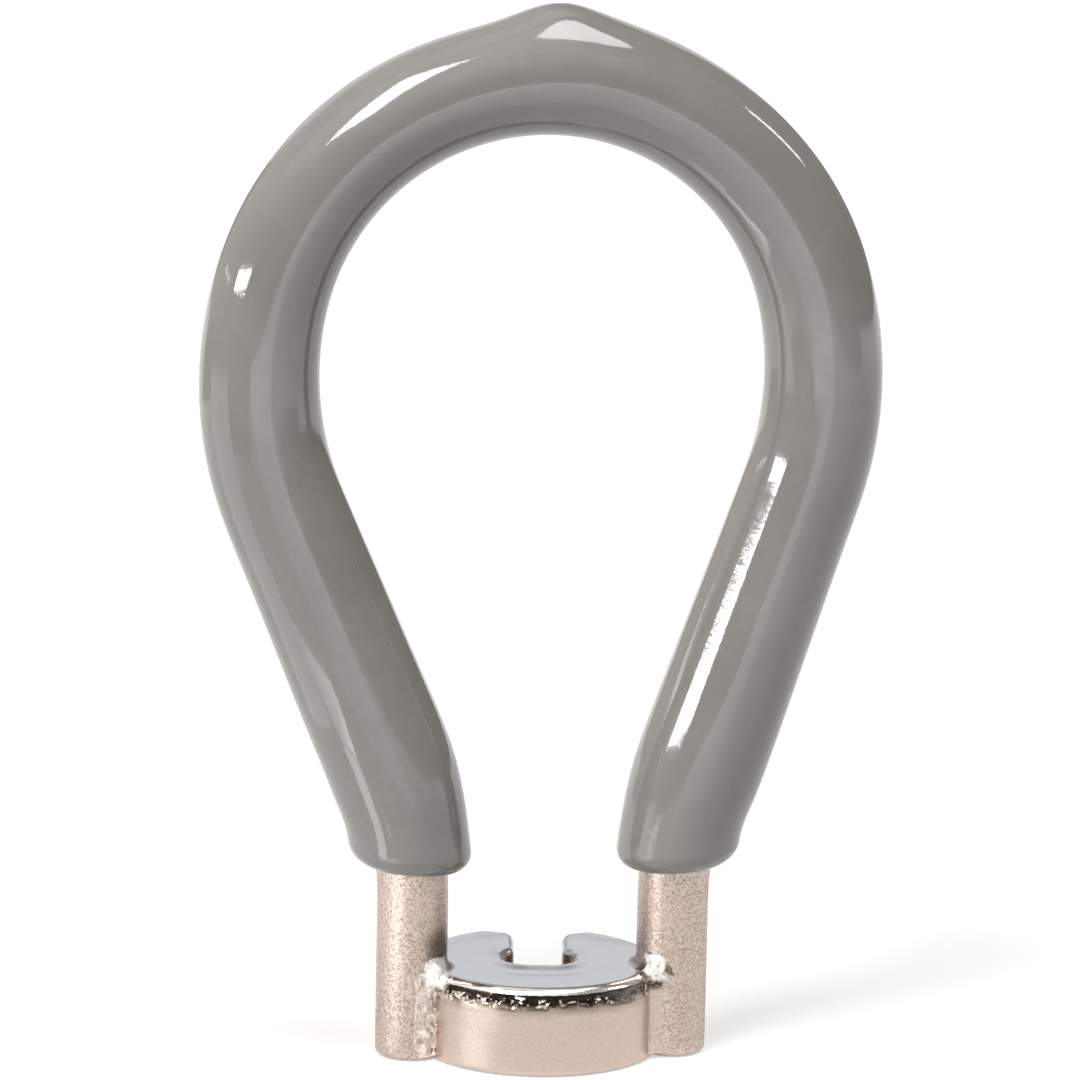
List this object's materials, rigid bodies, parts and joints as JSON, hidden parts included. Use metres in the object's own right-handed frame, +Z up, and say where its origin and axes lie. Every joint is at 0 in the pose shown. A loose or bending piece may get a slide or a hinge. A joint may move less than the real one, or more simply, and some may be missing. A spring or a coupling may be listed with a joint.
{
  "type": "spoke wrench",
  "caption": "Loop-handled spoke wrench: a bent wire handle with a dipped soft grip, brazed to a short slotted head with a square pocket for spoke nipples.",
  "frame": {"origin": "on the nipple pocket's axis, at the head's flat underside", "axes": "+Z up along the nipple axis and the legs, to the top of the loop; +X to the right leg, seen from the front; +Y to the back, where the spoke slot opens"},
  "size_m": [0.0376, 0.0136, 0.0589],
  "materials": {
    "nickel_wire": "satin nickel plate with a fine grain",
    "nickel_head": "smooth satin nickel plate, rim polished bright",
    "nickel_braze": "bright rough braze under nickel plate",
    "grey_vinyl": "glossy dipped vinyl"
  },
  "bodies": {
    "root": {"handle_wire": "nickel_wire", "nipple_head": "nickel_head", "braze_left": "nickel_braze", "braze_right": "nickel_braze", "vinyl_grip": "grey_vinyl"}
  },
  "joints": []
}
